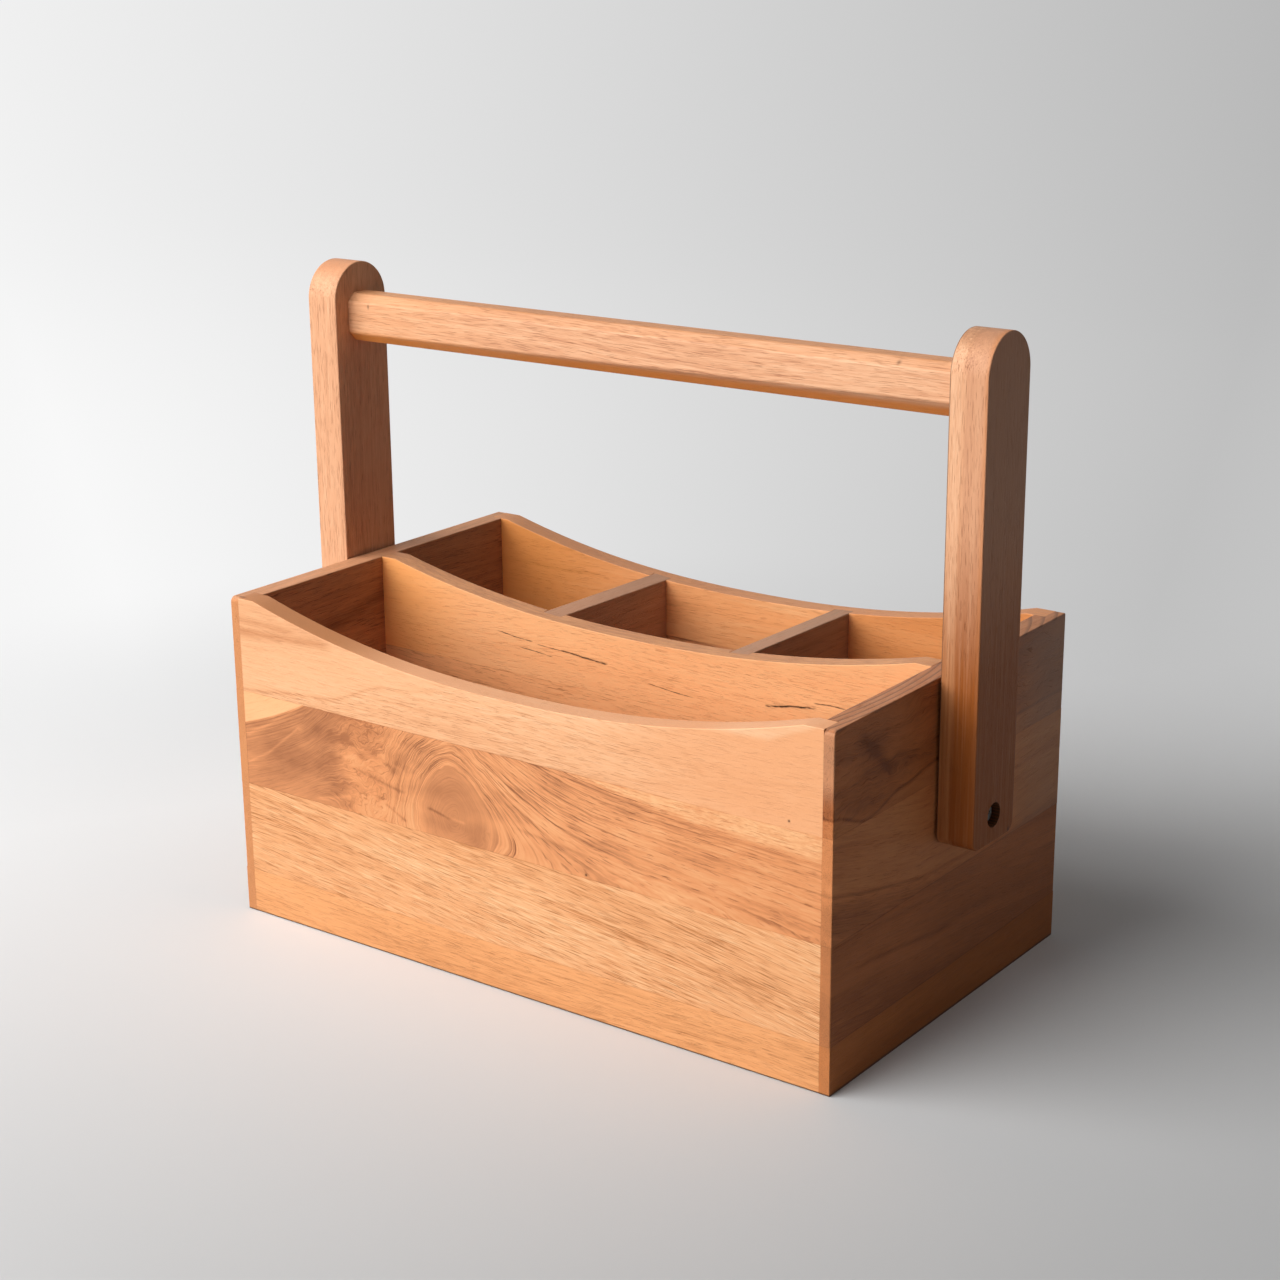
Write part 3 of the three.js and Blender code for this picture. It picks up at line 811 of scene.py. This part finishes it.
# Tones of teak: dark, body, pale
CREAM = ((0.60, 0.25, 0.105), (0.87, 0.450, 0.230), (0.94, 0.58, 0.34))
GOLD = ((0.56, 0.22, 0.076), (0.84, 0.395, 0.175), (0.94, 0.57, 0.30))
ORANGE = ((0.50, 0.19, 0.065), (0.86, 0.385, 0.155), (0.92, 0.46, 0.21))
BROWN = ((0.34, 0.125, 0.052), (0.78, 0.325, 0.135), (0.92, 0.49, 0.235))
HONEY = ((0.50, 0.20, 0.070), (0.88, 0.410, 0.175), (0.94, 0.50, 0.23))
AMBER = ((0.48, 0.18, 0.055), (0.86, 0.365, 0.140), (0.92, 0.47, 0.21))
RED = ((0.22, 0.065, 0.020), (0.52, 0.170, 0.055), (0.70, 0.27, 0.100))
RUSSET = ((0.28, 0.085, 0.027), (0.60, 0.205, 0.069), (0.78, 0.32, 0.125))
UMBER = ((0.27, 0.12, 0.060), (0.58, 0.285, 0.145), (0.74, 0.38, 0.20))
TAN = ((0.25, 0.075, 0.018), (0.50, 0.155, 0.038), (0.74, 0.28, 0.090))
DIM = ((0.24, 0.14, 0.085), (0.46, 0.280, 0.180), (0.60, 0.38, 0.25))
GREYED = ((0.30, 0.14, 0.075), (0.60, 0.315, 0.185), (0.74, 0.42, 0.27))
PINK = ((0.46, 0.19, 0.095), (0.76, 0.385, 0.210), (0.92, 0.55, 0.33))

FRONT = "xzy"
SIDE = "yzx"
STANDING = "zyx"
LYING = "xyz"

# Boards by the start of their node's name; the first that fits counts
BOARDS = [
    ("front_board_top", Teak(
        FRONT, CREAM, figure=cream_figure, heart=(-140.0, 300.0), hatch=0.55, pore=0.26,
        top_shade_and_sheen=(0.88, 0.43, 0.22),
    )),
    ("front_board_upper", Teak(
        FRONT, BROWN, figure=eye_figure, ring=3.1, heart=(-340.0, 0.0), sway=2.0, thin=0.75,
        hatch=0.55, line=0.7,
    )),
    ("front_board_lower", Teak(
        FRONT, GOLD, figure=fan_figure, slope=0.07, reach=14.0, hatch=1.05, pore=0.4,
    )),
    ("front_board_bottom", Teak(
        FRONT, ORANGE, figure=low_figure, slope=0.02, hatch=0.4, pore=0.16, line=0.08,
    )),
    ("back_board_top", Teak(FRONT, AMBER, figure=back_figure, hatch=0.3, pore=0.15)),
    ("back_board_upper", Teak(FRONT, BROWN, slope=-0.03)),
    ("back_board_lower", Teak(FRONT, GOLD, slope=0.04, hatch=0.9)),
    ("back_board_bottom", Teak(FRONT, ORANGE, figure=low_figure)),
    ("right_end_board_top", Teak(
        SIDE, RED, figure=end_top_figure, hatch=0.3, streak=0.15, pore=0.15,
        top_shade_and_sheen=(0.56, 0.26, 0.135),
    )),
    ("right_end_board_upper", Teak(
        SIDE, RUSSET, figure=end_upper_figure, hatch=0.35, streak=0.2, pore=0.2,
    )),
    ("right_end_board_lower", Teak(
        SIDE, RED, figure=end_lower_figure, hatch=0.25, streak=0.12, pore=0.12,
    )),
    ("right_end_board_bottom", Teak(
        SIDE, TAN, figure=right_low_figure, hatch=0.2, streak=0.12, pore=0.1,
    )),
    ("left_end_board_top", Teak(
        SIDE, UMBER, figure=left_end_figure, hatch=0.3, streak=0.2, top_shade_and_sheen=(0.76, 0.36, 0.185),
    )),
    ("left_end_board_bottom", Teak(SIDE, UMBER, figure=left_low_figure, slope=0.05, hatch=0.5)),
    ("left_end_board", Teak(SIDE, UMBER, figure=left_side_figure, slope=0.05, hatch=0.5)),
    ("long_divider_board_top", Teak(
        FRONT, HONEY, figure=divider_figure, hatch=0.3, streak=0.2, pore=0.12,
        top_shade_and_sheen=(0.58, 0.26, 0.125),
    )),
    ("long_divider_board", Teak(FRONT, HONEY, slope=0.03, hatch=0.35, streak=0.2)),
    ("left_cross_divider", Teak(SIDE, GREYED, hatch=0.35, pore=0.15, top_shade_and_sheen=(0.58, 0.29, 0.165))),
    ("right_cross_divider", Teak(
        SIDE, DIM, slope=0.04, hatch=0.35, pore=0.15, top_shade_and_sheen=(0.56, 0.28, 0.16),
    )),
    ("floor_board", Teak(LYING, ORANGE, top_shade_and_sheen=(0.80, 0.345, 0.14))),
    ("right_upright", Teak(
        STANDING, PINK, figure=right_upright_figure, hatch=0.5, drift=0.1, sway=2.0,
        top_shade_and_sheen=(0.48, 0.23, 0.12),
    )),
    ("left_upright", Teak(
        STANDING, PINK, figure=left_upright_figure, streak=0.25, hatch=0.5, drift=0.1, sway=2.0,
    )),
    ("handle_rail", Teak(
        FRONT, PINK, figure=rail_figure, streak=0.35, slope=0.01, reach=14.0,
        top_shade_and_sheen=(0.64, 0.28, 0.12),
    )),
    ("", Teak(FRONT, PINK)),
]


def wood_of(node):
    return next(wood for start, wood in BOARDS if node.startswith(start))


EASE = 0.45
RAIL_EASE = 0.7
FOOT_EASE = 0.9
STEEL_EASE = 0.15


def shape_of(node):
    """The node's surface, sanded as far as a hand reaches."""
    solid = solid_of(node)
    if node.startswith("floor") or "dowel" in node or "upright" in node:
        return solid
    if node == "handle_rail":
        return eased(solid, joints_of(node), RAIL_EASE)
    if node.endswith("_bottom"):
        solid = eased(solid, joints_of(node), FOOT_EASE, only=(2, 0.0))
        return grounded(eased(solid, joints_of(node) + [(2, 0.0)], EASE))
    solid = eased(solid, joints_of(node), EASE)
    return cracked(solid) if node == "long_divider_board_top" else solid


steel = plated_steel("plated_steel")
for seed, node in enumerate(sorted(frame["nodes"]), start=20):
    if node.endswith(("screw", "washer")):
        piece = add_piece(node + "_finished", eased(solid_of(node), [], STEEL_EASE, 2), steel)
        stand_for(piece, node)
        continue
    wood = wood_of(node)
    wood.seed = seed
    material = teak(node + "_teak", wood, seams_of(node))
    piece = add_piece(node + "_finished", shape_of(node), material)
    stand_for(piece, node)


# Camera, fitted to the photographed corners

CAMERA_PLACE = Vector((0.56468, -0.76335, 0.42184))
CAMERA_AZIMUTH = math.radians(36.523)
CAMERA_ELEVATION = math.radians(17.222)
CAMERA_ROLL = math.radians(-0.529)
CAMERA_LENS = 66.98
SENSOR_WIDTH = 36.0


def add_camera():
    back = Vector((
        math.sin(CAMERA_AZIMUTH) * math.cos(CAMERA_ELEVATION),
        -math.cos(CAMERA_AZIMUTH) * math.cos(CAMERA_ELEVATION),
        math.sin(CAMERA_ELEVATION),
    ))
    level = Vector((0.0, 0.0, 1.0)).cross(back).normalized()
    rise = back.cross(level)
    right = math.cos(CAMERA_ROLL) * level + math.sin(CAMERA_ROLL) * rise
    up = math.cos(CAMERA_ROLL) * rise - math.sin(CAMERA_ROLL) * level
    data = bpy.data.cameras.new("camera")
    data.lens = CAMERA_LENS
    data.sensor_width = SENSOR_WIDTH
    data.clip_start = 0.01
    camera = bpy.data.objects.new("camera", data)
    turn = Matrix((right, up, back)).transposed().to_4x4()
    camera.matrix_world = Matrix.Translation(CAMERA_PLACE) @ turn
    bpy.context.scene.collection.objects.link(camera)
    bpy.context.scene.camera = camera


add_camera()


# Stage: one pale sweep of paper, a large soft box at the left front, a dim room

def add_lamp(name, place, target, size, power):
    """A soft box at a place, facing a target; it gives no light behind itself."""
    data = bpy.data.lights.new(name, "AREA")
    data.shape = "RECTANGLE"
    data.size, data.size_y = size
    data.energy = power
    lamp = bpy.data.objects.new(name, data)
    lamp.location = place
    lamp.rotation_euler = (Vector(place) - Vector(target)).to_track_quat("Z", "Y").to_euler()
    bpy.context.scene.collection.objects.link(lamp)


def around(target, azimuth, elevation, distance):
    """A place seen from target at an azimuth (0 is the front, + is the left) and elevation in degrees."""
    a, e = math.radians(azimuth), math.radians(elevation)
    away = Vector((-math.sin(a) * math.cos(e), -math.cos(a) * math.cos(e), math.sin(e)))
    return Vector(target) + away * distance


def seen_rays(tree):
    """1 for what the camera sees by itself, in a gloss or through glass."""
    path = tree.nodes.new("ShaderNodeLightPath")
    camera, glossy, through = (
        Term(tree, path.outputs[name]) for name in ("Is Camera Ray", "Is Glossy Ray", "Is Transmission Ray")
    )
    return (camera + glossy + through).clamped()


def paper(name):
    """Pale paper: lit near the object, where its colour is painted paler to the left and back and darker to
    the front right as a falloff of light; far off it glows with painted light, brighter on the left and
    dimmer far away.
    """
    material, shader, place, _ = new_material(name)
    tree = material.node_tree
    x, y = place["x"], place["y"]
    mottle = noise((x, y, place["z"]), (400.0, 400.0, 400.0), 3, 2.0)
    away = (x.square() + y.square()).root()
    # far off, the paper glows with painted light instead of being lit by the lamps
    far = away.step(300.0, 640.0)
    side = (x * VIEW_RIGHT[0] + y * VIEW_RIGHT[1]) / (away + 500.0)
    backdrop = side.curve([(-0.9, 0.72), (-0.3, 0.924), (0.3, 0.516), (0.9, 0.72)])
    backdrop = backdrop - away.step(900.0, 2500.0) * 0.045
    seen = seen_rays(tree)
    # painted falloff of light: the colour is paler to the left and back
    painted_falloff = 0.71 - x * 0.00055 + y * 0.00035 + mottle * 0.01
    pale = ramp((painted_falloff - 0.45) / 0.4, [(0.0, (0.45, 0.45, 0.45)), (1.0, (0.85, 0.85, 0.85))])
    lit = mixed(seen, BOUNCE, pale)
    plug(tree, shader.inputs["Base Color"], mixed(far * seen, lit, (0.0, 0.0, 0.0)))
    plug(tree, shader.inputs["Emission Strength"], backdrop * far * seen)
    shader.inputs["Emission Color"].default_value = (1.0, 1.0, 1.0, 1.0)
    shader.inputs["Roughness"].default_value = 0.8
    shader.inputs["Specular IOR Level"].default_value = 0.1
    return material


def add_sweep():
    """Floor and backdrop in one: flat under the object, then curving up behind it."""
    half_width = 30.0
    front = -12.0
    bend_start = 1.4
    bend_radius = 1.0
    height = 3.0
    profile = [(front, 0.0)]
    for step in range(17):
        angle = math.radians(90.0 * step / 16)
        profile.append((bend_start + bend_radius * math.sin(angle), bend_radius * (1.0 - math.cos(angle))))
    profile.append((bend_start + bend_radius, height))
    sheet = bmesh.new()
    rows = [[sheet.verts.new((x, y, z)) for y, z in profile] for x in (-half_width, half_width)]
    for i in range(len(profile) - 1):
        sheet.faces.new((rows[0][i], rows[1][i], rows[1][i + 1], rows[0][i + 1]))
    sweep = add_piece("sweep", sheet, paper("paper"))
    sweep.modifiers.clear()


def add_room(strength, seen):
    """A dim room that looks pale to the camera."""
    world = bpy.data.worlds.new("room")
    world.use_nodes = True
    tree = world.node_tree
    background = tree.nodes["Background"]
    background.inputs["Color"].default_value = (1.0, 1.0, 1.0, 1.0)
    plug(tree, background.inputs["Strength"], seen_rays(tree) * (seen - strength) + strength)
    bpy.context.scene.world = world


MIDDLE = (0.0, 0.0, 0.1)
VIEW_RIGHT = (0.804, 0.595)
BOUNCE = (0.36, 0.36, 0.36)
add_sweep()
add_lamp("key", around(MIDDLE, 33.0, 33.0, 2.2), MIDDLE, (2.4, 2.0), 83.0)
add_lamp("top", (0.35, 0.0, 1.7), (0.35, 0.0, 0.0), (1.2, 1.2), 3.0)
add_room(0.048, 0.72)

bpy.context.scene.view_settings.view_transform = "Standard"
